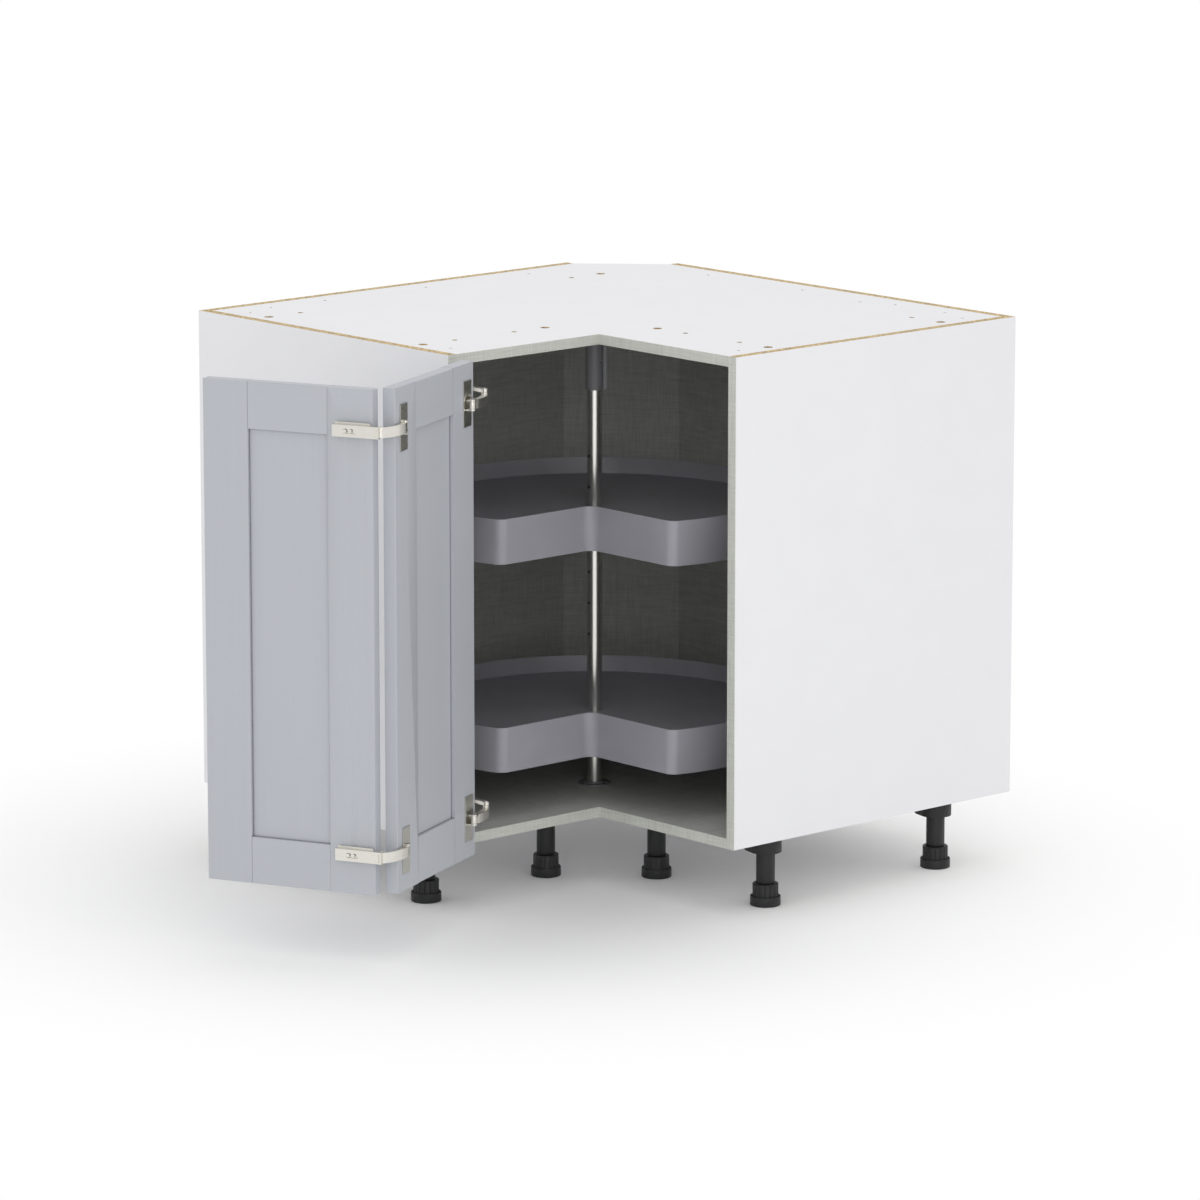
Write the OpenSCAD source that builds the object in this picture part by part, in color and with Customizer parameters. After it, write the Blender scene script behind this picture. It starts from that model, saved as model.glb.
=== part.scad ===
// Corner carousel cabinet: an L-shaped kitchen base unit with two turning trays on a pole and a
// pair of folding door leaves on wide-angle hinges, drawn with the doors open.
// Millimetres, +Z up. The origin is the room corner on the floor; both wall runs start there.

/* [Carcass] */
// Length of the cabinet along each wall
cabinet_w = 914; // [890:1:960]
// Depth from each wall to the carcass front
cabinet_d = 606; // [590:1:630]
// Height of the carcass between its feet and the worktop
carcass_h = 767; // [720:1:860]
// Thickness of the boards
board_t = 16; // [15:0.5:18]
// Length cut from each wall side at the room corner
corner_cut = 130; // [110:1:150]
// Thickness of the edge bands
band_t = 1; // [0.5:0.1:2]

/* [Feet] */
// Height of the feet under the carcass
foot_h = 110; // [100:1:150]
// Diameter of the foot tube
foot_tube_d = 29.4; // [27:0.2:32]
// Diameter of the ribbed collar
foot_collar_d = 40.4; // [36:0.2:44]
// Diameter of the base ring on the floor
foot_base_d = 47.6; // [44:0.2:56]
// Setback of the feet from the outer sides
foot_side = 40; // [36:1:50]
// Setback of the feet from the carcass front
foot_front = 106; // [90:1:120]

/* [Carousel] */
// Diameter of the turning pole
pole_d = 24.4; // [22:0.2:26]
// Wall of the pole
pole_wall = 1.5; // [1:0.1:2.5]
// Radius of the trays
tray_r = 300.5; // [270:0.5:305]
// Height of a tray's skirt
tray_h = 71; // [60:1:80]
// Depth of a tray's floor below its rim
tray_depth = 27; // [20:1:35]
// Wall of the trays
tray_wall = 2.5; // [2:0.1:4]
// Rounding of the tray corners
tray_corner_r = 18; // [10:1:25]
// Height of the upper tray's rim above the carcass underside
upper_rim = 492; // [470:1:540]
// Height of the lower tray's rim above the carcass underside
lower_rim = 162.5; // [155:0.5:200]

/* [Doors] */
// Turn of the doors away from shut, in degrees
door_turn = 155.5; // [0:0.5:170]
// Thickness of a door leaf
door_t = 20; // [18:0.5:22]
// Width of the upright frame pieces
stile_w = 74; // [60:1:80]
// Width of the level frame pieces
rail_w = 71.5; // [60:0.5:80]
// Thickness of the recessed panels
panel_t = 8; // [6:0.5:10]
// Gap between the shut doors and the carcass
door_gap = 2.5; // [2:0.1:3]
// Height of the hinges above the carcass underside and below its top
hinge_end = 62.5; // [60:0.5:66]

/* [Hidden] */
$fn = 96;

white = [0.92, 0.92, 0.93];
linen = [0.70, 0.71, 0.68];
beech = [0.80, 0.66, 0.45];
black = [0.16, 0.17, 0.18];
chrome = [0.80, 0.80, 0.78];
nickel = [0.76, 0.75, 0.72];
grey = [0.42, 0.43, 0.44];
tray_grey = [0.54, 0.53, 0.56];
slate = [0.68, 0.70, 0.72];

W = cabinet_w;
D = cabinet_d;
t = board_t;
z0 = foot_h;              // underside of the carcass
z1 = foot_h + carcass_h;  // top of the carcass
zb = z0 + t;              // inside floor of the cabinet
zt = z1 - t;              // inside ceiling of the cabinet
fit = 0.05;               // clearance of pins and pressed pieces, all round
step = 0.3;               // gap between faces that slide past each other

// carcass joints
dowel_r = 4;
dowel_in = 11;
dowel_out = 21;

// feet: [x, y, direction of the locating peg]
feet = [[127, -W + foot_side, 90], [D - foot_front, -W + foot_side, 90],
  [D - foot_front, -D - 18, -90], [D + 18, -D + foot_front, 0],
  [W - foot_side, -D + foot_front, 180], [W - foot_side, -127, 180], [133, -175, -90]];
peg_span = 64;
socket_r = 25;
socket_h = 25;
socket_peg_r = 7.5;
locating_peg_r = 4.4;
peg_h = 12;
peg_hole_h = peg_h + 0.5;
foot_screw_r = 9.9;
foot_base_h = 15;
foot_collar_h = 20;
foot_rim = 1.4;
foot_step = 2.4;         // of the base ring's top down to the collar's foot
foot_grooves = 16;
foot_groove_r = 1.3;

// worktop screw holes, on one half of the top and mirrored to the other
screw_hole_r = 2.5;
screw_holes = [[74, -W + 45], [54, -W + 104], [54, -W + 215], [54, -W + 428], [54, -263],
  [D - 50, -W + 47]];

// carousel
pole_behind = [129.3, 107];  // of the pole's axis from the planes of the two openings
pole_x = D - pole_behind[0];
pole_y = -D + pole_behind[1];
pole_r = pole_d / 2;
notch_x = 100;
notch_y = 97;
tray_floor = 3;
tray_rib_t = 2;
tray_rib_h = 14;
hub_r = 20;
hub_h = 40;
hub_flange_r = 45;
hub_flange_t = 4;
pin_r = 2.5;
pin_drop = [14.4, 21.5];  // pins below the floors of the upper and lower trays
floor_drop = tray_depth + tray_floor;
tray_rims = [upper_rim, lower_rim];
spare_holes = [upper_rim + 55, upper_rim + 5.5, 361, 311, 261];
flange_r = 25.5;
flange_t = 2.2;
collar_r = 15.3;
collar_h = 5;
sleeve_r = 14.2;
sleeve_h = 98;
sleeve_lip = 5;
sleeve_turn = 48;
fixing_r = 20;

// doors
door_reveal = 1.5;
fold_gap = 5;
bx = D + door_gap;                                        // back plane of leaf A, shut
ya = -W + door_reveal;                                    // hinge edge of leaf A, shut
leaf_w = W - D - door_reveal - door_gap - door_t - fold_gap;
yf = ya + leaf_w;                                         // free edge of leaf A, shut
xb = bx + door_t + fold_gap;                              // fold edge of leaf B, shut
leaf_h = carcass_h - 2;
zd = z0 + 1;
groove = 8;
edge_bevel = 1;

// wide-angle hinge: two links between the arm's pin and the cup's pin
hinge_z = [z0 + hinge_end, z1 - hinge_end];
arm_pin = [D - 5, -W + 30.5];
cup_pin = [D - 7.5, -W + 27.7];                           // with the doors shut
link_a = 57.5;
link_b = 56.9;
full_turn = 155.5;
turn_a = 149.2888 - 153.4165 * door_turn / full_turn;
turn_b = -34.4235 - 25.7348 * door_turn / full_turn;
mid_pin = arm_pin + link_a * [cos(turn_a), sin(turn_a)];
cup_pin_now = mid_pin + link_b * [cos(turn_b), sin(turn_b)];
pivot_r = 2;
knuckle_r = 5;
plate_t = 1.6;
plate_h = 70;
cup_r = 13;
cup_d = 11;
cup_wall = 0.8;
arm_bar = [50, 10.5, 14.5];
arm_bar_end = 31;                                         // of the bar behind the carcass front
arm_bar_z = 3;
arm_lugs = [[7.3, 8.8], [14.8, 17]];
outer_link_z = [9.1, 14.5];
inner_link_z = [-7, 7];
cup_lugs = [[4.5, 7], [-10, -7.3]];
bow = 5;
pin_head = 1;

plate_at = [66, 46];     // of the mounting plate's bar and wings, behind the opening
plate_bar = [45, 3, 20];
plate_wings = [18, 3, 52];
adjusting_at = [71, 54];

// fold hinge
fold_pin = [bx - 4, yf - 27];
fold_knuckle_r = 4;
fold_cup_r = 10;
fold_lug = [6, 10];
fold_arm_z = [5.7, 8];  // half heights of the arm at its pin and beyond it
fold_path = [[0, 0], [-2.5, 6], [-1.5, 17], [0, 29], [4, 44], [11, 56], [21, 60.3], [34, 60.3]];
fold_half = 3.2;
fold_bar = [76, 10.5, 18];
fold_bar_x = 13;
fold_lip = [58, 1.5, 4];
fold_slot = [19, 2.5, 7];
fold_notch = [3, 1.5, 13];
fold_plate = [56, 3, 18];

// ---------------------------------------------------------------- helpers

// draws its children and the same mirrored over the diagonal to the other wall
module both() {
  children();
  mirror([1, 1, 0]) children();
}

// swings what is drawn at the shut door to where the doors stand now
module swung() {
  translate(cup_pin_now) rotate(-door_turn) translate(-cup_pin) children();
}

// a strip of half width h along a path of points, mitred at its bends
function unit(v) = v / norm(v);
function left(v) = [-v[1], v[0]];
function beside(p, i, h) =
  let (n = len(p) - 1, j = max(i, 1), k = min(i + 1, n),
    a = left(unit(p[j] - p[j - 1])), b = left(unit(p[k] - p[k - 1])), m = unit(a + b))
  p[i] + m * h / (m * a);
// the path with its corners cut, drawn towards a curve
function eased(p) = let (n = len(p) - 1)
  concat([p[0]], [for (i = [1:n - 1]) each [p[i] + (p[i - 1] - p[i]) / 4, p[i] + (p[i + 1] - p[i]) / 4]],
    [p[n]]);

module strip(p, h) polygon(concat([for (i = [0:len(p) - 1]) beside(p, i, h)],
  [for (i = [len(p) - 1:-1:0]) beside(p, i, -h)]));

// countersunk screw: its head starts at z = 0 and its shank points up
module screw(head_r, head_t, r, l, grow = 0) {
  translate([0, 0, -grow]) cylinder(r1 = head_r + grow, r2 = r + grow, h = head_t + grow);
  translate([0, 0, head_t - 0.01]) cylinder(r = r + grow, h = l - head_t + grow);
}

// ---------------------------------------------------------------- carcass

// dowels of the left half: side panel and wall panel into the top and the bottom
module dowels_left(grow = 0) {
  for (z = [z0 + t / 2, z1 - t / 2]) {
    for (x = [60, 0.5 * D, D - 46])
      translate([x, -W + t - dowel_in - grow, z]) rotate([-90, 0, 0])
        cylinder(r = dowel_r + grow, h = dowel_in + dowel_out + 2 * grow);
    for (y = [-corner_cut - 110, -0.61 * W, -W + 94])
      translate([t - dowel_in - grow, y, z]) rotate([0, 90, 0])
        cylinder(r = dowel_r + grow, h = dowel_in + dowel_out + 2 * grow);
  }
}

module carcass_dowels() color(beech) both() dowels_left();

module side_panel() difference() {
  translate([0, -W, z0]) cube([D - band_t, t, carcass_h]);
  dowels_left(fit);
}

module side_panel_left() color(white) difference() {
  side_panel();
  for (z = hinge_z) plate_screws(z, fit);
}

module side_panel_right() color(white) mirror([1, 1, 0]) side_panel();

module wall_panel() difference() {
  translate([0, -W + t, z0]) cube([t, W - t - corner_cut, carcass_h]);
  dowels_left(fit);
}

module wall_panel_left() color(white) wall_panel();

module wall_panel_right() color(white) mirror([1, 1, 0]) wall_panel();

module corner_panel() color(white)
  translate([0, 0, zb]) linear_extrude(zt - zb)
    polygon([[t, -corner_cut], [corner_cut, -t],
      [corner_cut + t * sqrt(2), -t], [t, -corner_cut - t * sqrt(2)]]);

module board_outline() polygon([[t, -corner_cut], [corner_cut, -t], [W - t, -t],
  [W - t, -D + band_t], [D - band_t, -D + band_t], [D - band_t, -W + t], [t, -W + t]]);

// the top and the bottom are drilled alike for foot sockets, from their outer faces
module board(z, drill_z) difference() {
  translate([0, 0, z]) linear_extrude(t) board_outline();
  both() dowels_left(fit);
  for (f = feet) translate([f[0], f[1], drill_z]) rotate(f[2]) {
    cylinder(r = socket_peg_r + fit, h = peg_hole_h + 1);
    translate([peg_span, 0, 0]) cylinder(r = locating_peg_r + fit, h = peg_hole_h + 1);
  }
}

module top_panel() color(white) difference() {
  board(zt, z1 - peg_hole_h);
  both() for (h = screw_holes) translate([h[0], h[1], zt - 1]) cylinder(r = screw_hole_r, h = t + 2);
  translate([D + 34, -74, zt - 1]) cylinder(r = screw_hole_r, h = t + 2);
  top_screws(fit);
}

module bottom_panel() color(white) difference() {
  board(z0, z0 - 1);
  base_screws(fit);
}

module edge_bands_upright() color(linen) both()
  translate([D - band_t, -W, z0]) cube([band_t, t, carcass_h]);

module edge_bands_level() color(linen) for (z = [z0, zt]) {
  translate([D - band_t, -W + t, z]) cube([band_t, W - t - D + band_t, t]);
  translate([D, -D, z]) cube([W - t - D, band_t, t]);
}

// ---------------------------------------------------------------- feet

module socket_outline() {
  circle(socket_r);
  translate([peg_span, 0]) circle(11);
  polygon([[3, socket_r - 0.5], [peg_span, 11], [peg_span, -11], [3, -socket_r + 0.5]]);
}

module foot_socket() difference() {
  union() {
    translate([0, 0, -socket_h]) linear_extrude(socket_h) socket_outline();
    cylinder(r = socket_peg_r, h = peg_h);
    translate([peg_span, 0, 0]) cylinder(r = locating_peg_r, h = peg_h);
  }
  translate([0, 30, 0]) rotate([90, 0, 0]) linear_extrude(60)
    polygon([[22, -socket_h - 1], [peg_span + 12, -socket_h - 1], [peg_span + 12, -5]]);
  translate([0, 0, -socket_h - 1]) cylinder(d = foot_tube_d + 2 * fit, h = socket_h - 1);
}

module foot_sockets() color(black)
  for (f = feet) translate([f[0], f[1], z0]) rotate(f[2]) foot_socket();

module foot_tubes() color(black) for (f = feet)
  translate([f[0], f[1], foot_base_h + foot_collar_h + step]) difference() {
    cylinder(d = foot_tube_d, h = z0 - 2 - fit - foot_base_h - foot_collar_h - step);
    translate([0, 0, -1]) cylinder(r = foot_screw_r + fit, h = z0 - 8 - foot_base_h - foot_collar_h);
  }

module foot_adjuster(i) color(black) translate([feet[i][0], feet[i][1], 0]) {
  difference() {
    rotate_extrude() polygon([[0, 0], [foot_base_d / 2 - 1, 0], [foot_base_d / 2, 1],
      [foot_base_d / 2, foot_base_h - 0.6], [foot_base_d / 2 - 0.6, foot_base_h],
      [foot_base_d / 2 - foot_rim, foot_base_h], [foot_base_d / 2 - foot_rim, foot_base_h - foot_step],
      [foot_collar_d / 2, foot_base_h - foot_step], [foot_collar_d / 2, foot_base_h + foot_collar_h - 1],
      [foot_collar_d / 2 - 1, foot_base_h + foot_collar_h], [foot_screw_r, foot_base_h + foot_collar_h],
      [foot_screw_r, foot_base_h + foot_collar_h + 40], [0, foot_base_h + foot_collar_h + 40]]);
    for (k = [1:foot_grooves]) rotate(k * 360 / foot_grooves)
      translate([foot_collar_d / 2 + 0.1, 0, foot_base_h - foot_step + 0.8])
        cylinder(r = foot_groove_r, h = foot_collar_h + foot_step);
  }
}

module foot_adjuster_1() foot_adjuster(0);
module foot_adjuster_2() foot_adjuster(1);
module foot_adjuster_3() foot_adjuster(2);
module foot_adjuster_4() foot_adjuster(3);
module foot_adjuster_5() foot_adjuster(4);
module foot_adjuster_6() foot_adjuster(5);
module foot_adjuster_7() foot_adjuster(6);

// ---------------------------------------------------------------- carousel

module at_pole(z = 0) translate([pole_x, pole_y, z]) children();

// three fixing screws round the pole, heads at z = 0
module fixings(l, grow = 0)
  for (a = [30, 150, 270]) rotate(a) translate([fixing_r, 0, 0]) screw(3, 1.5, 1.5, l, grow);

module base_screws(grow = 0) at_pole(zb + flange_t) mirror([0, 0, 1]) fixings(12, grow);

module top_screws(grow = 0) at_pole(zt - flange_t) fixings(12, grow);

module pole_base_flange() color(grey) difference() {
  at_pole(zb) {
    cylinder(r = flange_r, h = flange_t);
    cylinder(r = collar_r, h = collar_h);
  }
  at_pole(zb + 1.2) cylinder(r = pole_r + 0.08, h = collar_h);
  base_screws(fit);
}

module pole_base_screws() color(nickel) base_screws();

module pole_top_bracket() color(grey) difference() {
  at_pole(zt) {
    translate([0, 0, -flange_t]) cylinder(r = flange_r, h = flange_t);
    translate([0, 0, -sleeve_h]) cylinder(r = sleeve_r, h = sleeve_h);
    rotate(sleeve_turn) translate([pole_r + 0.9, -2.6, -sleeve_h])
      cube([sleeve_r + sleeve_lip - pole_r - 0.9, 5.2, sleeve_h]);
  }
  at_pole(zt - sleeve_h - 1) cylinder(r = pole_r + 0.08, h = sleeve_h + 2);
  at_pole(zt - sleeve_h - 1) rotate(sleeve_turn) translate([0, -1, 0])
    cube([30, 2, sleeve_h + 1 - flange_t]);
  for (h = [4, 45]) at_pole(zt - sleeve_h + h) rotate([0, 90, 0]) cylinder(r = 2, h = 20);
  top_screws(fit);
}

module pole_top_screws() color(nickel) top_screws();

module pole() color(chrome) difference() {
  at_pole(zb + 1.5) cylinder(r = pole_r, h = zt - zb - 5.5);
  at_pole(zb) cylinder(r = pole_r - pole_wall, h = zt - zb);
  for (z = spare_holes) at_pole(z0 + z) rotate([90, 0, 0]) cylinder(r = pin_r, h = 20);
  tray_pin_set(fit);
}

module pole_end_plug() color(grey) at_pole(zb + 1.5) cylinder(r = pole_r - pole_wall, h = 16);

module tray_pin_set(grow = 0) for (i = [0, 1])
  at_pole(z0 + tray_rims[i] - floor_drop - pin_drop[i]) rotate([90, 0, 0])
    cylinder(r = pin_r + grow, h = 2 * hub_r - 2 + 2 * grow, center = true);

module tray_pins() color(nickel) tray_pin_set();

// rounds one outer corner of the notch, edge = distance of the notch from the pole
module tip_cut(edge, inset) {
  cx = edge - tray_corner_r;
  reach = tray_r - tray_corner_r;
  cy = -sqrt(reach * reach - cx * cx);
  l = 2 * tray_corner_r;
  translate([cx, cy]) difference() {
    polygon([[0, 0], [l, 0], [l, -l], [l * cx / reach, l * cy / reach]]);
    circle(tray_corner_r - inset);
  }
}

module tray_outline(inset = 0) {
  nx = notch_x - inset;
  ny = notch_y - inset;
  rf = tray_corner_r + inset;
  difference() {
    circle(tray_r - inset, $fn = 180);
    difference() {
      translate([nx, -tray_r - 1]) square([tray_r + 1, tray_r + 1 - ny]);
      difference() {
        translate([nx, -ny - rf]) square(rf);
        translate([nx + rf, -ny - rf]) circle(rf);
      }
    }
    tip_cut(notch_x, inset);
    mirror([1, 1]) tip_cut(notch_y, inset);
  }
}

module tray(rim) at_pole(z0 + rim - tray_h) difference() {
  union() {
    difference() {
      linear_extrude(tray_h) tray_outline();
      translate([0, 0, tray_h - tray_depth]) linear_extrude(tray_depth + 1) tray_outline(tray_wall);
      translate([0, 0, -1]) linear_extrude(tray_h - floor_drop + 1) tray_outline(tray_wall);
    }
    intersection() {
      translate([0, 0, tray_h - floor_drop - tray_rib_h]) linear_extrude(tray_rib_h + 1)
        tray_outline(tray_wall / 2);
      for (a = [22.5:45:360]) rotate(a) translate([hub_flange_r + 1, -tray_rib_t / 2, 0])
        cube([tray_r, tray_rib_t, tray_h]);
    }
  }
  translate([0, 0, -1]) cylinder(r = pole_r + fit, h = tray_h + 2);
}

module tray_upper() color(tray_grey) tray(upper_rim);

module tray_lower() color(tray_grey) tray(lower_rim);

module tray_hubs() color(tray_grey) difference() {
  for (rim = tray_rims) at_pole(z0 + rim - floor_drop) {
    translate([0, 0, -hub_flange_t]) cylinder(r = hub_flange_r, h = hub_flange_t);
    translate([0, 0, -hub_h]) cylinder(r = hub_r, h = hub_h);
  }
  at_pole(zb) cylinder(r = pole_r + fit, h = zt - zb);
  tray_pin_set(fit);
}

// ---------------------------------------------------------------- wide-angle hinges

module plate_screws(z, grow = 0) for (s = [-16, 16])
  translate([D - 37, -W + t + 3, z + 7 + s]) rotate([90, 0, 0]) screw(3.5, 2, 1.8, 15, grow);

module hinge_plate_screws() color(nickel) for (z = hinge_z) plate_screws(z);

module hinge_mounting_plates() color(nickel) for (z = hinge_z) difference() {
  union() {
    translate([D - plate_at[0], -W + t, z - 3]) cube(plate_bar);
    translate([D - plate_at[1], -W + t, z - 19]) cube(plate_wings);
  }
  plate_screws(z, fit);
}

module adjusting_screws(z, grow = 0) for (x = adjusting_at)
  translate([D - x, -W + t + 13.5, z + 7]) rotate([-90, 0, 0]) {
    translate([0, 0, -6 - grow]) cylinder(r = 2 + grow, h = 6 + grow);
    cylinder(r = 3.2, h = 1.4);
  }

module hinge_adjusting_screws() color(nickel) for (z = hinge_z) adjusting_screws(z);

module hinge_arms() color(nickel) for (z = hinge_z) difference() {
  union() {
    translate([D - arm_bar_end - arm_bar[0], -W + t + 3, z + arm_bar_z]) cube(arm_bar);
    for (g = arm_lugs) translate([0, 0, z + g[0]]) linear_extrude(g[1] - g[0]) {
      strip([[D - arm_bar_end - 7, -W + t + 8.25], arm_pin], 4.4);
      translate(arm_pin) circle(knuckle_r);
    }
  }
  translate([arm_pin[0], arm_pin[1], z]) cylinder(r = pivot_r, h = 20);
  adjusting_screws(z, fit);
}

// a pin from the first to the last level of a pivot, with a head on top
module pivot(p, z, levels) translate([p[0], p[1], z + levels[0]]) {
  cylinder(r = pivot_r, h = levels[1] - levels[0]);
  translate([0, 0, levels[1] - levels[0]]) cylinder(r = pivot_r + 1, h = pin_head);
}

module hinge_arm_pins() color(nickel)
  for (z = hinge_z) pivot(arm_pin, z, [arm_lugs[0][0], arm_lugs[1][1]]);

module hinge_outer_links() color(nickel) for (z = hinge_z)
  translate([arm_pin[0], arm_pin[1], z + outer_link_z[0]]) rotate(turn_a)
    linear_extrude(outer_link_z[1] - outer_link_z[0]) difference() {
      union() {
        circle(knuckle_r);
        translate([link_a, 0]) circle(knuckle_r);
        strip([[0, 0], [link_a, 0]], 4.4);
      }
      circle(pivot_r + fit);
      translate([link_a, 0]) circle(pivot_r + fit);
    }

// the link is cut down round the cup's pin for the upper lug, and raised to the outer link
module hinge_inner_links() color(nickel) for (z = hinge_z)
  translate([mid_pin[0], mid_pin[1], z]) rotate(turn_b) difference() {
    union() {
      translate([0, 0, inner_link_z[0]]) linear_extrude(inner_link_z[1] - inner_link_z[0]) {
        strip(eased([[0, 0], [12, 0.8 * bow], [link_b / 2, bow], [link_b - 12, 0.8 * bow],
          [link_b, 0]]), 4.4);
        translate([link_b, 0]) circle(knuckle_r);
      }
      translate([0, 0, inner_link_z[0]])
        cylinder(r = knuckle_r, h = outer_link_z[0] - step - inner_link_z[0]);
    }
    translate([link_b, 0, cup_lugs[0][0] - step]) cylinder(r = knuckle_r + 2.5, h = 10);
    translate([0, 0, -20]) cylinder(r = pivot_r, h = 40);
    translate([link_b, 0, -20]) cylinder(r = pivot_r + fit, h = 40);
  }

module hinge_middle_pins() color(nickel)
  for (z = hinge_z) pivot(mid_pin, z, [inner_link_z[0], outer_link_z[1] + step]);

// cup of a hinge on the back of leaf A: y0..y1 is its plate, yc and r its cup
module cup_body(y0, y1, yc, r) difference() {
  union() {
    translate([bx - plate_t, y0, -plate_h / 2]) cube([plate_t, y1 - y0, plate_h]);
    translate([bx - plate_t, yc, 0]) rotate([0, 90, 0]) cylinder(r = r, h = plate_t + cup_d);
  }
  translate([bx - plate_t - 1, yc, 0]) rotate([0, 90, 0])
    cylinder(r = r - cup_wall, h = plate_t + 1 + cup_d - cup_wall);
}

module cup_bore(yc, r)
  translate([bx - 1, yc, 0]) rotate([0, 90, 0]) cylinder(r = r + fit, h = cup_d + 1 + fit);

module cup_screws(yc, grow = 0) for (s = [-28, 28])
  translate([bx - plate_t, yc, s]) rotate([0, 90, 0]) screw(3.2, plate_t, 1.8, 14, grow);

module lug(p, x1, g, r) translate([0, 0, g[0]]) linear_extrude(g[1] - g[0]) {
  translate(p) circle(r);
  translate([p[0], p[1] - r]) square([x1 - p[0], 2 * r]);
}

hinge_cup_y = ya + 24.35;
fold_cup_y = yf - 29.5;

module hinge_cups() color(nickel) swung() for (z = hinge_z) translate([0, 0, z]) difference() {
  union() {
    cup_body(ya + 10.7, ya + 38, hinge_cup_y, cup_r);
    for (g = cup_lugs) lug(cup_pin, bx + cup_d - cup_wall / 2, g, knuckle_r);
  }
  translate([cup_pin[0], cup_pin[1], -20]) cylinder(r = pivot_r, h = 40);
  cup_screws(hinge_cup_y, fit);
}

module hinge_cup_pins() color(nickel) swung() for (z = hinge_z)
  translate([cup_pin[0], cup_pin[1], z + cup_lugs[1][0]])
    cylinder(r = pivot_r, h = cup_lugs[0][1] - cup_lugs[1][0]);

module hinge_cup_screws() color(nickel) swung()
  for (z = hinge_z) translate([0, 0, z]) cup_screws(hinge_cup_y);

// ---------------------------------------------------------------- fold hinges

module fold_cups() color(nickel) swung() for (z = hinge_z) translate([0, 0, z]) difference() {
  union() {
    cup_body(yf - 40.6, yf - 16.5, fold_cup_y, fold_cup_r);
    lug(fold_pin, bx - 0.5, fold_lug, fold_knuckle_r);
    lug(fold_pin, bx - 0.5, [-fold_lug[1], -fold_lug[0]], fold_knuckle_r);
  }
  translate([fold_pin[0], fold_pin[1], -20]) cylinder(r = pivot_r, h = 40);
  cup_screws(fold_cup_y, fit);
}

module fold_pins() color(nickel) swung() for (z = hinge_z)
  translate([fold_pin[0], fold_pin[1], z - fold_lug[1]]) cylinder(r = pivot_r, h = 2 * fold_lug[1]);

module fold_cup_screws() color(nickel) swung()
  for (z = hinge_z) translate([0, 0, z]) cup_screws(fold_cup_y);

fold_bar_y = -bx + fold_plate[1];  // face of the bar towards leaf B's back

module arm_screws(z, grow = 0) for (x = [12, 30.5, 39])
  translate([xb + x, fold_bar_y + fold_bar[1], z]) rotate([90, 0, 0])
    screw(2.7, 1.4, 1.6, fold_bar[1] + fold_plate[1] + 9, grow);

// an arm bowed round the leaves' edges from leaf A's cup to a bar on leaf B
module fold_arm() difference() {
  union() {
    translate([fold_pin[0], fold_pin[1], -fold_arm_z[1]]) linear_extrude(2 * fold_arm_z[1]) {
      circle(fold_knuckle_r);
      strip(eased(eased(fold_path)), fold_half);
    }
    translate([fold_pin[0] + fold_bar_x, fold_bar_y, -fold_bar[2] / 2]) cube(fold_bar);
    translate([xb + 1, fold_bar_y + 1, fold_bar[2] / 2 - 1]) cube(fold_lip);
  }
  for (s = [0, 1]) mirror([0, 0, s]) translate([fold_pin[0], fold_pin[1], fold_arm_z[0]])
    cylinder(r = fold_knuckle_r + 1.5, h = 10);
  translate([xb + 22, fold_bar_y + fold_bar[1] - fold_slot[1], -fold_slot[2] / 2])
    cube(fold_slot + [0, 1, 0]);
  translate([fold_pin[0] + fold_bar_x + 2, fold_bar_y + fold_bar[1] - fold_notch[1],
    -fold_notch[2] / 2]) cube(fold_notch + [0, 1, 0]);
  translate([fold_pin[0], fold_pin[1], -20]) cylinder(r = pivot_r + fit, h = 40);
}

module fold_arms() color(nickel) swung() for (z = hinge_z) difference() {
  translate([0, 0, z]) fold_arm();
  arm_screws(z, fit);
}

module fold_plates() color(nickel) swung() for (z = hinge_z) difference() {
  translate([xb + 4, -bx, z - fold_plate[2] / 2]) cube(fold_plate);
  arm_screws(z, fit);
}

module fold_arm_screws() color(nickel) swung() for (z = hinge_z) arm_screws(z);

// ---------------------------------------------------------------- door leaves
// a leaf lies along X from 0 to leaf_w, its back at y = 0 and its front at y = door_t

module stile() difference() {
  linear_extrude(leaf_h) polygon([[edge_bevel, 0], [stile_w, 0], [stile_w, door_t],
    [edge_bevel, door_t], [0, door_t - edge_bevel], [0, edge_bevel]]);
  translate([stile_w - groove, (door_t - panel_t) / 2, -1]) cube([groove + 1, panel_t, leaf_h + 2]);
}

module far_stile() translate([leaf_w, 0, 0]) mirror([1, 0, 0]) stile();

module bottom_rail() {
  span = leaf_w - 2 * stile_w;
  difference() {
    translate([stile_w, 0, 0]) rotate([90, 0, 90]) linear_extrude(span)
      polygon([[edge_bevel, 0], [door_t - edge_bevel, 0], [door_t, edge_bevel], [door_t, rail_w],
        [0, rail_w], [0, edge_bevel]]);
    translate([stile_w - 1, (door_t - panel_t) / 2, rail_w - groove])
      cube([span + 2, panel_t, groove + 1]);
  }
  for (x = [stile_w - groove, leaf_w - stile_w - 0.5])
    translate([x, (door_t - panel_t) / 2, 0]) cube([groove + 0.5, panel_t, rail_w - groove]);
}

module top_rail() translate([0, 0, leaf_h]) mirror([0, 0, 1]) bottom_rail();

module centre_panel() translate([stile_w - groove, (door_t - panel_t) / 2, rail_w - groove])
  cube([leaf_w - 2 * (stile_w - groove), panel_t, leaf_h - 2 * (rail_w - groove)]);

module place_a() translate([bx, yf, zd]) rotate(-90) children();

module place_b() translate([xb + leaf_w, -bx, zd]) rotate(180) children();

module door_a_hinge_stile() color(slate) swung() difference() {
  place_a() far_stile();
  for (z = hinge_z) translate([0, 0, z]) {
    cup_bore(hinge_cup_y, cup_r);
    cup_screws(hinge_cup_y, fit);
  }
}

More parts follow.
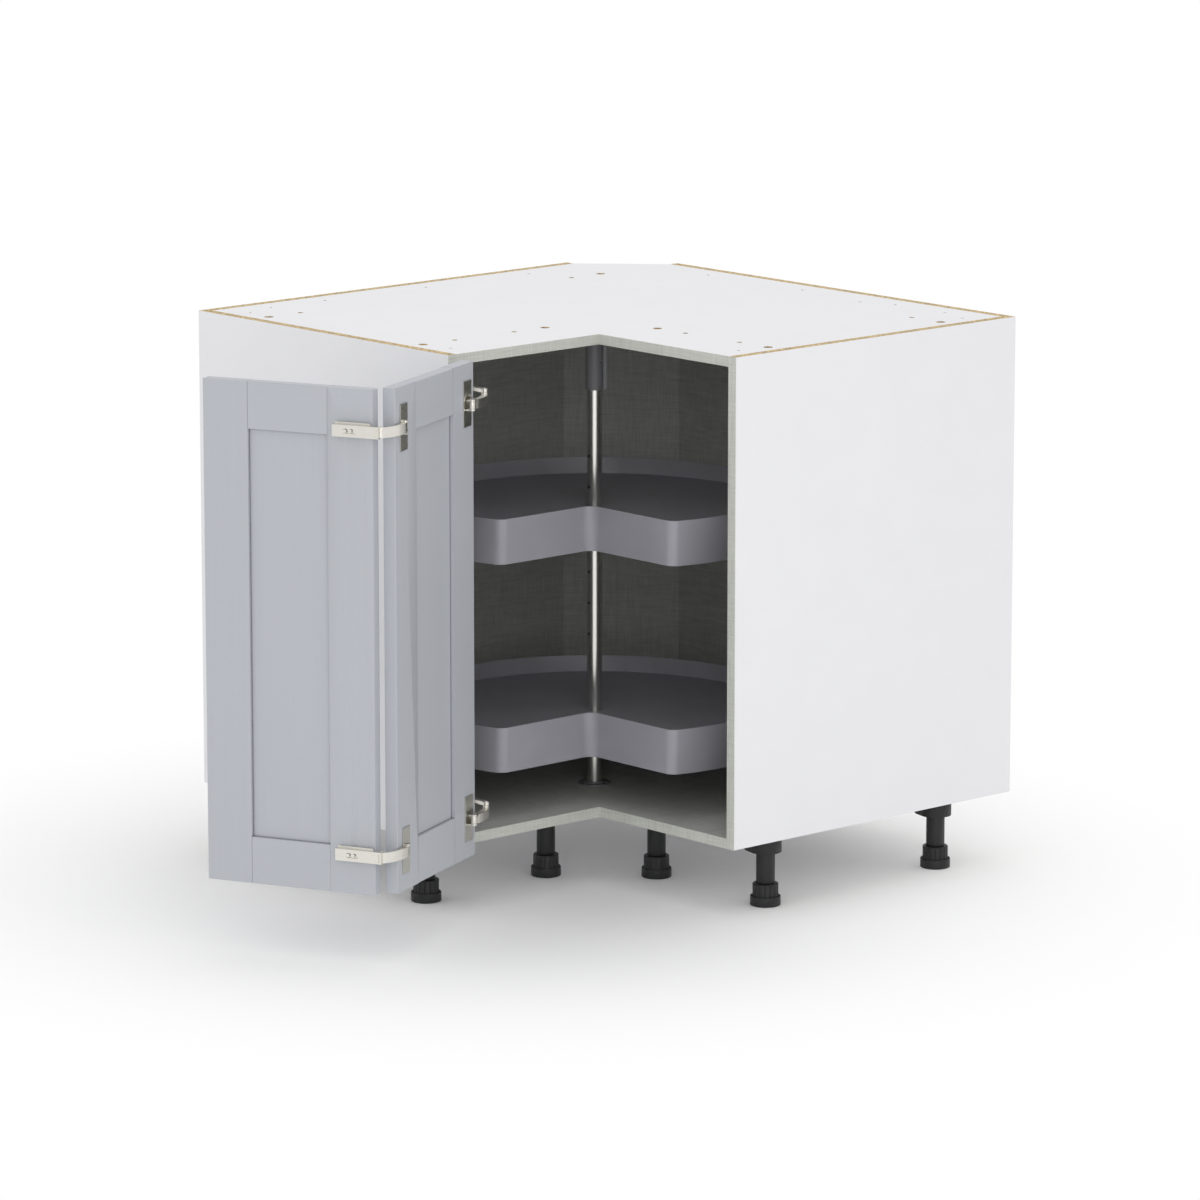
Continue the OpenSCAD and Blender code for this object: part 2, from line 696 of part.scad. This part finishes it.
module door_a_fold_stile() color(slate) swung() difference() {
  place_a() stile();
  for (z = hinge_z) translate([0, 0, z]) {
    cup_bore(fold_cup_y, fold_cup_r);
    cup_screws(fold_cup_y, fit);
  }
}

module door_a_top_rail() color(slate) swung() place_a() top_rail();

module door_a_bottom_rail() color(slate) swung() place_a() bottom_rail();

module door_a_panel() color(slate) swung() place_a() centre_panel();

module door_b_fold_stile() color(slate) swung() difference() {
  place_b() far_stile();
  for (z = hinge_z) arm_screws(z, fit);
}

module door_b_free_stile() color(slate) swung() place_b() stile();

module door_b_top_rail() color(slate) swung() place_b() top_rail();

module door_b_bottom_rail() color(slate) swung() place_b() bottom_rail();

module door_b_panel() color(slate) swung() place_b() centre_panel();

// ---------------------------------------------------------------- nodes

side_panel_left();
side_panel_right();
wall_panel_left();
wall_panel_right();
corner_panel();
top_panel();
bottom_panel();
edge_bands_upright();
edge_bands_level();
carcass_dowels();
foot_sockets();
foot_tubes();
foot_adjuster_1();
foot_adjuster_2();
foot_adjuster_3();
foot_adjuster_4();
foot_adjuster_5();
foot_adjuster_6();
foot_adjuster_7();
pole_base_flange();
pole_base_screws();
pole_top_bracket();
pole_top_screws();
pole();
pole_end_plug();
tray_upper();
tray_lower();
tray_hubs();
tray_pins();
hinge_mounting_plates();
hinge_plate_screws();
hinge_arms();
hinge_adjusting_screws();
hinge_arm_pins();
hinge_outer_links();
hinge_inner_links();
hinge_middle_pins();
hinge_cups();
hinge_cup_pins();
hinge_cup_screws();
door_a_hinge_stile();
door_a_fold_stile();
door_a_top_rail();
door_a_bottom_rail();
door_a_panel();
fold_cups();
fold_pins();
fold_cup_screws();
fold_arms();
fold_plates();
fold_arm_screws();
door_b_fold_stile();
door_b_free_stile();
door_b_top_rail();
door_b_bottom_rail();
door_b_panel();
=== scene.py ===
"""Looks of the corner carousel cabinet: finishes for every carried-over solid, and its stage."""
import math

import bpy
from bpy.props import FloatProperty, FloatVectorProperty, IntProperty, PointerProperty
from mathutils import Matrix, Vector


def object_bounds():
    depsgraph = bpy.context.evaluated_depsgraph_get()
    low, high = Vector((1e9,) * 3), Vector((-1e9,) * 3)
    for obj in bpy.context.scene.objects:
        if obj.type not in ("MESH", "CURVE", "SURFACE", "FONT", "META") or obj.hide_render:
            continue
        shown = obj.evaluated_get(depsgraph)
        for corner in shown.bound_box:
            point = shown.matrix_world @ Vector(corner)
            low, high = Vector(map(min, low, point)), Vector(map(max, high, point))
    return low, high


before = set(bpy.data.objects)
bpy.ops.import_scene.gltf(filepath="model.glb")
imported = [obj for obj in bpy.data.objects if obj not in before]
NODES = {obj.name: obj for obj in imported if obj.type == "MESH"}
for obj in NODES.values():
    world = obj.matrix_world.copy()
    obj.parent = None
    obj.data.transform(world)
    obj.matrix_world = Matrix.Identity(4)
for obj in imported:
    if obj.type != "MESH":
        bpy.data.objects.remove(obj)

bl_info = {
    "name": "Corner carousel cabinet finishes",
    "version": (1, 0, 0),
    "blender": (4, 5, 0),
    "location": "View3D > Sidebar > Cabinet",
    "description": "Dresses the corner cabinet's solids and sets its stage",
    "category": "Object",
}

CAD_LOW, CAD_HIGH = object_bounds()
MM = 0.001

# ends and starts of the names of the metal nodes
SMALL_METAL = ("_screws", "_pins")
HINGE_METAL = ("hinge_", "fold_")

# directions in which a weave or a grain runs
ALONG_X = (1, 0, 0)
ALONG_Y = (0, 1, 0)
SIDEWAYS = (1, 1, 0)
UP = (0, 0, 1)

# marks per metre
THREAD_RUN = 22                 # changes of tone along a thread
PAINT_STREAKS = 260             # across the grain under the paint
PAINT_STREAK_RUN = 6            # along it
BEECH_GRAIN = (900, 900, 60)
POLE_MARKS = (500, 500, 6)      # drawing marks along x, y and z
HINGE_MARKS = (90, 90, 1400)

# light and dark of a weave, as a share of its colour
INSIDE_CONTRAST = 0.17
BAND_CONTRAST = 0.12

# roughness at the two ends of each finish's own variation
FOOT_ROUGHNESS = (0.42, 0.54)
BRACKET_ROUGHNESS = (0.42, 0.52)
TRAY_ROUGHNESS = (0.36, 0.44)
CHROME_ROUGHNESS = (0.20, 0.27)
NICKEL_ROUGHNESS = (0.24, 0.34)

# strength of the moulded texture
FOOT_PITS = 0.08
BRACKET_PITS = 0.05
TRAY_PITS = 0.06

PAINTED_SHADE_SAMPLES = 8               # rays that find where shade is painted into the joints of the paint
CHIP_THICKNESS = 1.8            # chips per metre upright, against those sideways
FACE_LEAN = 0.9                 # a board's faces lean this far in or out, its edges less

# the clean-up before an edge is rounded, and the sharpest angle that is left
WELD_GAP = 0.005 * MM
FLAT_ANGLE = math.radians(0.5)
SHARP_ANGLE = math.radians(40)

FLOOR_WHITE = (0.96, 0.96, 0.96)
FLOOR_RADIUS = 14.0
FLOOR_SIDES = 96
FLOOR_GAP = 0.2 * MM
FLOOR_FADE = (0.45, 1.25)       # distances between which the floor turns plain white
FRONT_PLACE = (3.7, -3.2, 1.5)
OVERHEAD_PLACE = (0.46, -0.46, 3.6)
LIGHT_WIDTH = 2.6
SENSOR_WIDTH = 36
VIEW_NEAR, VIEW_FAR = 0.1, 100


# ------------------------------------------------------------------ settings

def colour(name, description, value):
    """A colour property with a linear default."""
    return FloatVectorProperty(
        name=name, description=description, default=value, subtype="COLOR", size=3, min=0, max=1
    )


class CabinetColours(bpy.types.PropertyGroup):
    """Colours of the finishes, in linear light."""

    board_white: colour("Board white", "Smooth outside of the boards", (0.84, 0.84, 0.86))
    board_inside: colour("Board inside", "Woven-look inside of the boards", (0.52, 0.523, 0.497))
    edge_band: colour("Edge band", "Woven-look edge bands", (0.56, 0.57, 0.522))
    chipboard: colour("Chipboard", "Raw board edges", (0.56, 0.42, 0.22))
    door_paint: colour("Door paint", "Satin paint of the door leaves", (0.455, 0.472, 0.508))
    tray: colour("Tray", "Moulded trays and their hubs", (0.345, 0.338, 0.375))
    foot: colour("Foot", "Moulded feet", (0.010, 0.0105, 0.011))
    bracket: colour("Bracket", "Pole bracket and base flange", (0.17, 0.17, 0.18))
    nickel: colour("Nickel", "Plated hinges and screws", (0.78, 0.76, 0.70))
    chrome: colour("Chrome", "Polished pole", (0.80, 0.79, 0.75))
    dowel: colour("Dowel", "Turned wooden dowels", (0.55, 0.36, 0.18))


class CabinetSizes(bpy.types.PropertyGroup):
    """Sizes, lights and view that a user would change."""

    paint_edge: FloatProperty(
        name="Painted edge", description="Rounding of the door frame's edges",
        default=0.9 * MM, min=0, max=3 * MM, unit="LENGTH",
    )
    # shade painted into the door frames' joints by an occlusion node reaches this far
    joint_shade: FloatProperty(
        name="Joint shade", description="Reach of the darker paint in the door frames' joints",
        default=2.5 * MM, min=0, max=10 * MM, unit="LENGTH",
    )
    metal_edge: FloatProperty(
        name="Metal edge", description="Rounding of the hinges' edges",
        default=0.5 * MM, min=0, max=1 * MM, unit="LENGTH",
    )
    plastic_edge: FloatProperty(
        name="Plastic edge", description="Rounding of the moulded trays' and feet's edges",
        default=0.5 * MM, min=0, max=2 * MM, unit="LENGTH",
    )
    weave: FloatProperty(
        name="Weave", description="Width of a thread of the woven-look faces",
        default=1.8 * MM, min=0.5 * MM, max=10 * MM, unit="LENGTH",
    )
    chip: FloatProperty(
        name="Chip", description="Length of a chip in the raw board edges",
        default=3.0 * MM, min=0.5 * MM, max=10 * MM, unit="LENGTH",
    )
    edge_steps: IntProperty(
        name="Edge steps", description="Faces across a rounded edge", default=3, min=1, max=6
    )
    sky: FloatProperty(
        name="Sky", description="Strength of the light from all round", default=0.88, min=0, max=2
    )
    front: FloatProperty(
        name="Front light", description="Power of the large light before the opening",
        default=22, min=0, max=1000, unit="POWER",
    )
    overhead: FloatProperty(
        name="Overhead light", description="Power of the large light above the cabinet",
        default=10, min=0, max=1000, unit="POWER",
    )
    view_turn: FloatProperty(
        name="View turn", description="Turn of the camera round the cabinet",
        default=math.radians(47.859), subtype="ANGLE",
    )
    view_tilt: FloatProperty(
        name="View tilt", description="Slope of the camera's view",
        default=math.radians(11.277), subtype="ANGLE",
    )
    view_lens: FloatProperty(
        name="Lens", description="Focal length for a 36 mm wide picture", default=194.75,
        min=50, max=400,
    )
    view_place: FloatVectorProperty(
        name="Camera place", description="Where the camera stands",
        default=(7.9761, -7.2733, 2.4390), size=3, subtype="TRANSLATION",
    )


def colours():
    return bpy.context.scene.cabinet_colours


def sizes():
    return bpy.context.scene.cabinet_sizes


# ------------------------------------------------------------------ material building

def even(marks):
    """The same number of marks per metre in every direction."""
    return (marks, marks, marks)


def shade(tint, factor):
    return tuple(min(1.0, c * factor) for c in tint)


class Shader:
    """A material in the making: its Principled surface and short calls for the nodes before it."""

    def __init__(self, name):
        self.material = bpy.data.materials.new(name)
        self.material.use_nodes = True
        self.nodes = self.material.node_tree.nodes
        self.links = self.material.node_tree.links
        self.surface = self.nodes["Principled BSDF"]
        self.place = self.nodes.new("ShaderNodeTexCoord").outputs["Object"]

    def node(self, kind, **values):
        made = self.nodes.new(kind)
        for key, value in values.items():
            setattr(made, key, value)
        return made

    def set(self, **values):
        for key, value in values.items():
            self.surface.inputs[key.capitalize()].default_value = value
        return self

    def scaled(self, scale):
        mapping = self.node("ShaderNodeMapping")
        mapping.inputs["Scale"].default_value = scale
        self.links.new(self.place, mapping.inputs["Vector"])
        return mapping.outputs["Vector"]

    def noise(self, scale, detail=3.0, rough=0.5):
        """Noise whose cells are 1/scale metres along each axis."""
        texture = self.node("ShaderNodeTexNoise")
        texture.inputs["Scale"].default_value = 1.0
        texture.inputs["Detail"].default_value = detail
        texture.inputs["Roughness"].default_value = rough
        self.links.new(self.scaled(scale), texture.inputs["Vector"])
        return texture.outputs["Fac"]

    def cells(self, scale):
        """Cells of 1/scale metres along each axis, each with its own colour."""
        texture = self.node("ShaderNodeTexVoronoi")
        texture.inputs["Scale"].default_value = 1.0
        self.links.new(self.scaled(scale), texture.inputs["Vector"])
        return texture

    def ramp(self, value, tint, *stops):
        """Shades of one tint through (position, factor) stops."""
        made = self.node("ShaderNodeValToRGB")
        elements = made.color_ramp.elements
        while len(elements) < len(stops):
            elements.new(0.5)
        for element, (position, factor) in zip(elements, stops):
            element.position = position
            element.color = (*shade(tint, factor), 1)
        self.links.new(value, made.inputs["Fac"])
        return made.outputs["Color"]

    def maths(self, operation, a, b):
        made = self.node("ShaderNodeMath", operation=operation)
        for socket, value in zip(made.inputs, (a, b)):
            if isinstance(value, (int, float)):
                socket.default_value = value
            else:
                self.links.new(value, socket)
        return made.outputs["Value"]

    def paint(self, source):
        self.links.new(source, self.surface.inputs["Base Color"])
        return self

    def roughen(self, value, low, high):
        """Roughness from low to high as the value goes from 0 to 1."""
        span = self.node("ShaderNodeMapRange")
        span.inputs["To Min"].default_value = low
        span.inputs["To Max"].default_value = high
        self.links.new(value, span.inputs["Value"])
        self.links.new(span.outputs["Result"], self.surface.inputs["Roughness"])
        return self

    def bump(self, height, strength, distance):
        made = self.node("ShaderNodeBump")
        made.inputs["Strength"].default_value = strength
        made.inputs["Distance"].default_value = distance
        self.links.new(height, made.inputs["Height"])
        self.links.new(made.outputs["Normal"], self.surface.inputs["Normal"])
        return self


# ------------------------------------------------------------------ finishes

MADE = {}   # this script's own materials; model.glb brings plain ones that may share a name


def finish(build):
    """Makes build(shader, ...) a finish that is asked for by name and built only once."""
    def ask(name, *values):
        if name not in MADE:
            shader = Shader(name)
            build(shader, *values)
            MADE[name] = shader.material
        return MADE[name]
    return ask


@finish
def board_white(m):
    """Smooth melamine with a faint cloud of tone and fine pores."""
    cloud = m.noise(even(14), detail=2)
    m.paint(m.ramp(cloud, colours().board_white, (0.3, 0.985), (0.7, 1)))
    pores = m.noise(even(1500), detail=2)
    m.roughen(cloud, 0.40, 0.48).bump(pores, strength=0.05, distance=0.2 * MM)


@finish
def woven(m, tint, across, along, contrast):
    """Printed weave: fine threads that cross, each of uneven tone."""
    fine = 1 / sizes().weave
    first = m.noise([fine if a else THREAD_RUN for a in across], rough=0.6)
    second = m.noise([fine if a else THREAD_RUN for a in along], rough=0.6)
    both = m.maths("MULTIPLY", m.maths("ADD", first, second), 0.5)
    m.paint(m.ramp(both, tint, (0.36, 1 - contrast), (0.5, 1), (0.64, 1 + contrast)))
    m.roughen(both, 0.62, 0.50).bump(both, strength=0.25, distance=0.15 * MM)


def board_inside(level):
    tint = colours().board_inside
    if level:
        return woven("board_inside_level", tint, ALONG_X, ALONG_Y, INSIDE_CONTRAST)
    return woven("board_inside_upright", tint, SIDEWAYS, UP, INSIDE_CONTRAST)


@finish
def chipboard(m):
    """Raw edge of pressed chips, each of its own tone."""
    chips_per_metre = 1 / sizes().chip
    chips = m.cells((chips_per_metre, chips_per_metre, CHIP_THICKNESS * chips_per_metre))
    split = m.node("ShaderNodeSeparateColor")
    m.links.new(chips.outputs["Color"], split.inputs["Color"])
    m.paint(m.ramp(split.outputs["Red"], colours().chipboard,
                   (0.0, 0.45), (0.25, 0.8), (0.6, 1), (1.0, 1.45)))
    m.set(roughness=0.85).bump(chips.outputs["Distance"], strength=0.4, distance=0.3 * MM)


@finish
def door_paint(m, grain):
    """Sprayed satin paint over wood: faint streaks, fine orange peel, and shade painted into the
    joints.
    """
    streaks = m.noise([PAINT_STREAK_RUN if g else PAINT_STREAKS for g in grain])
    # an occlusion node darkens the paint's colour where other faces lie close: painted shade in
    # the joints and grooves
    joint_painted_shade = m.node("ShaderNodeAmbientOcclusion", samples=PAINTED_SHADE_SAMPLES)
    joint_painted_shade.inputs["Distance"].default_value = sizes().joint_shade
    m.links.new(m.ramp(streaks, colours().door_paint, (0.32, 0.988), (0.68, 1.006)),
                joint_painted_shade.inputs["Color"])
    m.paint(joint_painted_shade.outputs["Color"])
    peel = m.noise(even(420))
    height = m.maths("ADD", m.maths("MULTIPLY", streaks, 0.7), peel)
    m.roughen(streaks, 0.38, 0.44).bump(height, strength=0.05, distance=0.12 * MM)


@finish
def moulded(m, tint, roughness, pits):
    """Satin moulded plastic with an even spark-eroded texture."""
    cloud = m.noise(even(9), detail=2)
    m.paint(m.ramp(cloud, tint, (0.3, 0.93), (0.7, 1.05)))
    m.roughen(cloud, *roughness)
    m.bump(m.noise(even(2600), detail=2), strength=pits, distance=0.1 * MM)


@finish
def plated(m, tint, roughness, drawing):
    """Bright plated metal with a trace of the drawing marks under the plating."""
    marks = m.noise(drawing)
    m.paint(m.ramp(marks, tint, (0.3, 0.93), (0.7, 1)))
    m.set(metallic=1.0)
    m.roughen(marks, *roughness).bump(marks, strength=0.04, distance=0.05 * MM)


@finish
def beech(m):
    """Turned dowel with its grain along it."""
    grain = m.noise(BEECH_GRAIN, detail=4)
    m.paint(m.ramp(grain, colours().dowel, (0.3, 0.75), (0.7, 1.1)))
    m.set(roughness=0.7).bump(grain, strength=0.3, distance=0.2 * MM)


# ------------------------------------------------------------------ dressing solids

def dress(node, materials, choose=None):
    """Gives a solid its materials; choose(normal) says which one a face takes."""
    solid = NODES[node]
    solid.data.materials.clear()
    for material in materials:
        solid.data.materials.append(material)
    for face in solid.data.polygons:
        face.material_index = choose(face.normal) if choose else 0
    return solid


def round_edges(solid, width):
    """Rounds the sharp edges of a solid without touching its own mesh."""
    weld = solid.modifiers.new("joined", "WELD")
    weld.merge_threshold = WELD_GAP
    flat = solid.modifiers.new("flattened", "DECIMATE")
    flat.decimate_type = "DISSOLVE"
    flat.angle_limit = FLAT_ANGLE
    flat.delimit = {"MATERIAL"}
    edge = solid.modifiers.new("rounded", "BEVEL")
    edge.width = width
    edge.segments = sizes().edge_steps
    edge.limit_method = "ANGLE"
    edge.angle_limit = SHARP_ANGLE
    edge.harden_normals = True


# direction in which each board's woven-look face looks
INWARD = {
    "side_panel_left": (0, 1, 0),
    "side_panel_right": (-1, 0, 0),
    "wall_panel_left": (1, 0, 0),
    "wall_panel_right": (0, -1, 0),
    "corner_panel": (math.sqrt(0.5), -math.sqrt(0.5), 0),
    "top_panel": (0, 0, -1),
    "bottom_panel": (0, 0, 1),
}


def board_side(normal, inward):
    """0 for a board's white outside, 1 for its woven-look inside, 2 for a raw edge."""
    lean = normal.dot(inward)
    if lean > FACE_LEAN:
        return 1
    return 0 if lean < -FACE_LEAN else 2


class CABINET_OT_boards(bpy.types.Operator):
    """White outside, woven-look inside and raw edges on the carcass boards"""

    bl_idname = "cabinet.boards"
    bl_label = "Finish boards"

    def execute(self, context):
        for node, direction in INWARD.items():
            inward = Vector(direction)
            level = abs(inward.z) > FACE_LEAN
            dress(node, [board_white("board_white"), board_inside(level), chipboard("chipboard")],
                  lambda normal: board_side(normal, inward))
        return {"FINISHED"}


class CABINET_OT_edge_bands(bpy.types.Operator):
    """Woven-look bands along the front edges of the carcass"""

    bl_idname = "cabinet.edge_bands"
    bl_label = "Finish edge bands"

    def execute(self, context):
        tint = colours().edge_band
        dress("edge_bands_upright",
              [woven("edge_band_upright", tint, SIDEWAYS, UP, BAND_CONTRAST)])
        dress("edge_bands_level",
              [woven("edge_band_level", tint, UP, SIDEWAYS, BAND_CONTRAST)])
        return {"FINISHED"}


class CABINET_OT_dowels(bpy.types.Operator):
    """Turned wooden dowels inside the board joints"""

    bl_idname = "cabinet.dowels"
    bl_label = "Finish dowels"

    def execute(self, context):
        dress("carcass_dowels", [beech("beech")])
        return {"FINISHED"}


class CABINET_OT_feet(bpy.types.Operator):
    """Black moulded sockets, tubes and adjusters of the levelling feet"""

    bl_idname = "cabinet.feet"
    bl_label = "Finish feet"

    def execute(self, context):
        black = moulded("foot_plastic", colours().foot, FOOT_ROUGHNESS, FOOT_PITS)
        for node in NODES:
            if node.startswith("foot_"):
                round_edges(dress(node, [black]), sizes().plastic_edge)
        return {"FINISHED"}


class CABINET_OT_pole(bpy.types.Operator):
    """Polished pole with its bracket, base flange and end plug"""

    bl_idname = "cabinet.pole"
    bl_label = "Finish pole"

    def execute(self, context):
        dress("pole", [plated("pole_chrome", colours().chrome, CHROME_ROUGHNESS, POLE_MARKS)])
        grey = moulded("bracket_grey", colours().bracket, BRACKET_ROUGHNESS, BRACKET_PITS)
        for node in ("pole_top_bracket", "pole_base_flange", "pole_end_plug"):
            dress(node, [grey])
        return {"FINISHED"}


class CABINET_OT_trays(bpy.types.Operator):
    """Satin moulded trays and their hubs"""

    bl_idname = "cabinet.trays"
    bl_label = "Finish trays"

    def execute(self, context):
        plastic = moulded("tray_moulding", colours().tray, TRAY_ROUGHNESS, TRAY_PITS)
        for node in ("tray_upper", "tray_lower", "tray_hubs"):
            round_edges(dress(node, [plastic]), sizes().plastic_edge)
        return {"FINISHED"}


class CABINET_OT_doors(bpy.types.Operator):
    """Satin paint and softly rounded edges on both door leaves"""

    bl_idname = "cabinet.doors"
    bl_label = "Finish doors"

    def execute(self, context):
        upright = door_paint("door_paint_upright", UP)
        level = door_paint("door_paint_level", SIDEWAYS)
        for node in NODES:
            if node.startswith("door_"):
                solid = dress(node, [level if node.endswith("rail") else upright])
                round_edges(solid, sizes().paint_edge)
        return {"FINISHED"}


class CABINET_OT_hinges(bpy.types.Operator):
    """Plated wide-angle and folding hinges, with every pin and screw"""

    bl_idname = "cabinet.hinges"
    bl_label = "Finish hinges"

    def execute(self, context):
        nickel = plated("hinge_nickel", colours().nickel, NICKEL_ROUGHNESS, HINGE_MARKS)
        for node in NODES:
            small = node.endswith(SMALL_METAL)
            if small or node.startswith(HINGE_METAL):
                metal = dress(node, [nickel])
                if not small:
                    round_edges(metal, sizes().metal_edge)
        return {"FINISHED"}


# ------------------------------------------------------------------ stage

def add_object(name, data):
    """An object for the data, placed in the scene."""
    made = bpy.data.objects.new(name, data)
    bpy.context.scene.collection.objects.link(made)
    return made


@finish
def floor_white(m):
    """Pale floor that turns into plain white away from the cabinet."""
    m.set(roughness=0.9)
    m.paint(m.ramp(m.noise(even(30)), FLOOR_WHITE, (0.0, 0.99), (1.0, 1)))
    length = m.node("ShaderNodeVectorMath", operation="LENGTH")
    m.links.new(m.place, length.inputs[0])
    fade = m.node("ShaderNodeMapRange", interpolation_type="SMOOTHSTEP")
    fade.inputs["From Min"].default_value, fade.inputs["From Max"].default_value = FLOOR_FADE
    m.links.new(length.outputs["Value"], fade.inputs["Value"])
    path = m.node("ShaderNodeLightPath")
    seen = m.maths("MAXIMUM", path.outputs["Is Camera Ray"], path.outputs["Is Glossy Ray"])
    glow = m.node("ShaderNodeEmission")
    mix = m.node("ShaderNodeMixShader")
    m.links.new(m.maths("MULTIPLY", fade.outputs["Result"], seen), mix.inputs["Fac"])
    m.links.new(m.surface.outputs["BSDF"], mix.inputs[1])
    m.links.new(glow.outputs["Emission"], mix.inputs[2])
    m.links.new(mix.outputs["Shader"], m.nodes["Material Output"].inputs["Surface"])


def build_floor(middle):
    turns = [2 * math.pi * i / FLOOR_SIDES for i in range(FLOOR_SIDES)]
    points = [(FLOOR_RADIUS * math.cos(t), FLOOR_RADIUS * math.sin(t), 0) for t in turns]
    mesh = bpy.data.meshes.new("floor")
    mesh.from_pydata(points, [], [list(range(FLOOR_SIDES))])
    mesh.materials.append(floor_white("floor_white"))
    floor = add_object("floor", mesh)
    floor.location = (middle.x, middle.y, CAD_LOW.z - FLOOR_GAP)


def build_world():
    """Even light on the object, and plain white where it is seen, mirrored or looked through."""
    world = bpy.data.worlds.new("studio")
    bpy.context.scene.world = world
    world.use_nodes = True
    nodes, links = world.node_tree.nodes, world.node_tree.links
    light = nodes["Background"]
    light.inputs["Strength"].default_value = sizes().sky
    light.inputs["Color"].default_value = (1, 1, 1, 1)
    white = nodes.new("ShaderNodeBackground")
    path = nodes.new("ShaderNodeLightPath")
    seen = path.outputs["Is Camera Ray"]
    for ray in ("Is Glossy Ray", "Is Transmission Ray"):
        either = nodes.new("ShaderNodeMath")
        either.operation = "MAXIMUM"
        links.new(seen, either.inputs[0])
        links.new(path.outputs[ray], either.inputs[1])
        seen = either.outputs["Value"]
    mix = nodes.new("ShaderNodeMixShader")
    links.new(seen, mix.inputs["Fac"])
    links.new(light.outputs["Background"], mix.inputs[1])
    links.new(white.outputs["Background"], mix.inputs[2])
    links.new(mix.outputs["Shader"], nodes["World Output"].inputs["Surface"])


def area_light(name, place, target, power):
    """Round soft light that faces the target."""
    lamp = bpy.data.lights.new(name, "AREA")
    lamp.shape = "DISK"
    lamp.size = LIGHT_WIDTH
    lamp.energy = power
    light = add_object(name, lamp)
    light.location = place
    light.rotation_euler = (target - Vector(place)).to_track_quat("-Z", "Y").to_euler()


def build_camera():
    data = bpy.data.cameras.new("photo_camera")
    data.sensor_width = SENSOR_WIDTH
    data.lens = sizes().view_lens
    data.clip_start, data.clip_end = VIEW_NEAR, VIEW_FAR
    camera = add_object("photo_camera", data)
    camera.location = sizes().view_place
    camera.rotation_euler = (math.pi / 2 - sizes().view_tilt, 0, sizes().view_turn)
    bpy.context.scene.camera = camera


class CABINET_OT_stage(bpy.types.Operator):
    """Floor, soft lights, white surround and the camera"""

    bl_idname = "cabinet.stage"
    bl_label = "Build stage"

    def execute(self, context):
        middle = (CAD_LOW + CAD_HIGH) / 2
        build_floor(middle)
        build_world()
        area_light("front", FRONT_PLACE, middle, sizes().front)
        area_light("overhead", OVERHEAD_PLACE, middle, sizes().overhead)
        build_camera()
        context.scene.view_settings.view_transform = "Standard"
        return {"FINISHED"}


# ------------------------------------------------------------------ panel and registration

STEPS = [
    CABINET_OT_boards, CABINET_OT_edge_bands, CABINET_OT_dowels, CABINET_OT_feet, CABINET_OT_pole,
    CABINET_OT_trays, CABINET_OT_doors, CABINET_OT_hinges, CABINET_OT_stage,
]


class CABINET_PT_finishes(bpy.types.Panel):
    """Lists the finishes and the settings they use."""

    bl_label = "Cabinet"
    bl_space_type = "VIEW_3D"
    bl_region_type = "UI"
    bl_category = "Cabinet"

    def draw(self, context):
        for group in (context.scene.cabinet_colours, context.scene.cabinet_sizes):
            for name in group.bl_rna.properties.keys():
                if name not in ("rna_type", "name"):
                    self.layout.prop(group, name)
        for step in STEPS:
            self.layout.operator(step.bl_idname)


CLASSES = [CabinetColours, CabinetSizes, *STEPS, CABINET_PT_finishes]


def register():
    for made in CLASSES:
        bpy.utils.register_class(made)
    bpy.types.Scene.cabinet_colours = PointerProperty(type=CabinetColours)
    bpy.types.Scene.cabinet_sizes = PointerProperty(type=CabinetSizes)


def unregister():
    del bpy.types.Scene.cabinet_sizes
    del bpy.types.Scene.cabinet_colours
    for made in reversed(CLASSES):
        bpy.utils.unregister_class(made)


def main():
    register()
    for step in STEPS:
        getattr(bpy.ops.cabinet, step.bl_idname.split(".")[1])()


if __name__ == "__main__":
    main()
